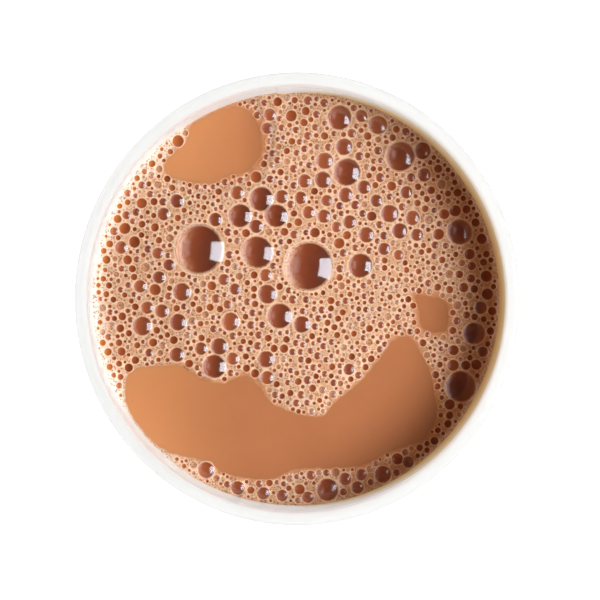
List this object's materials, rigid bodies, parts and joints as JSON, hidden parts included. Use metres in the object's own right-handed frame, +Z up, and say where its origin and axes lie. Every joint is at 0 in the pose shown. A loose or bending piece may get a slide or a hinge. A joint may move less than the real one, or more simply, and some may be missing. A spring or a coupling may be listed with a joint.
{
  "type": "cup of masala chai",
  "caption": "Milky spiced tea with a froth of bubbles, in a handle-less white paper cup with a rolled rim.",
  "frame": {"origin": "centre of the cup's foot, on the surface it stands on", "axes": "+Z up along the cup's axis, +Y towards the glued side seam"},
  "size_m": [0.08, 0.08, 0.092],
  "materials": {
    "paper": "white coated paperboard, satin",
    "tea": "milky tea, wet gloss",
    "froth": "pale wet froth of bubbles"
  },
  "bodies": {
    "root": {"cup_wall": "paper", "cup_base": "paper", "chai": "tea", "froth": "froth"}
  },
  "joints": []
}
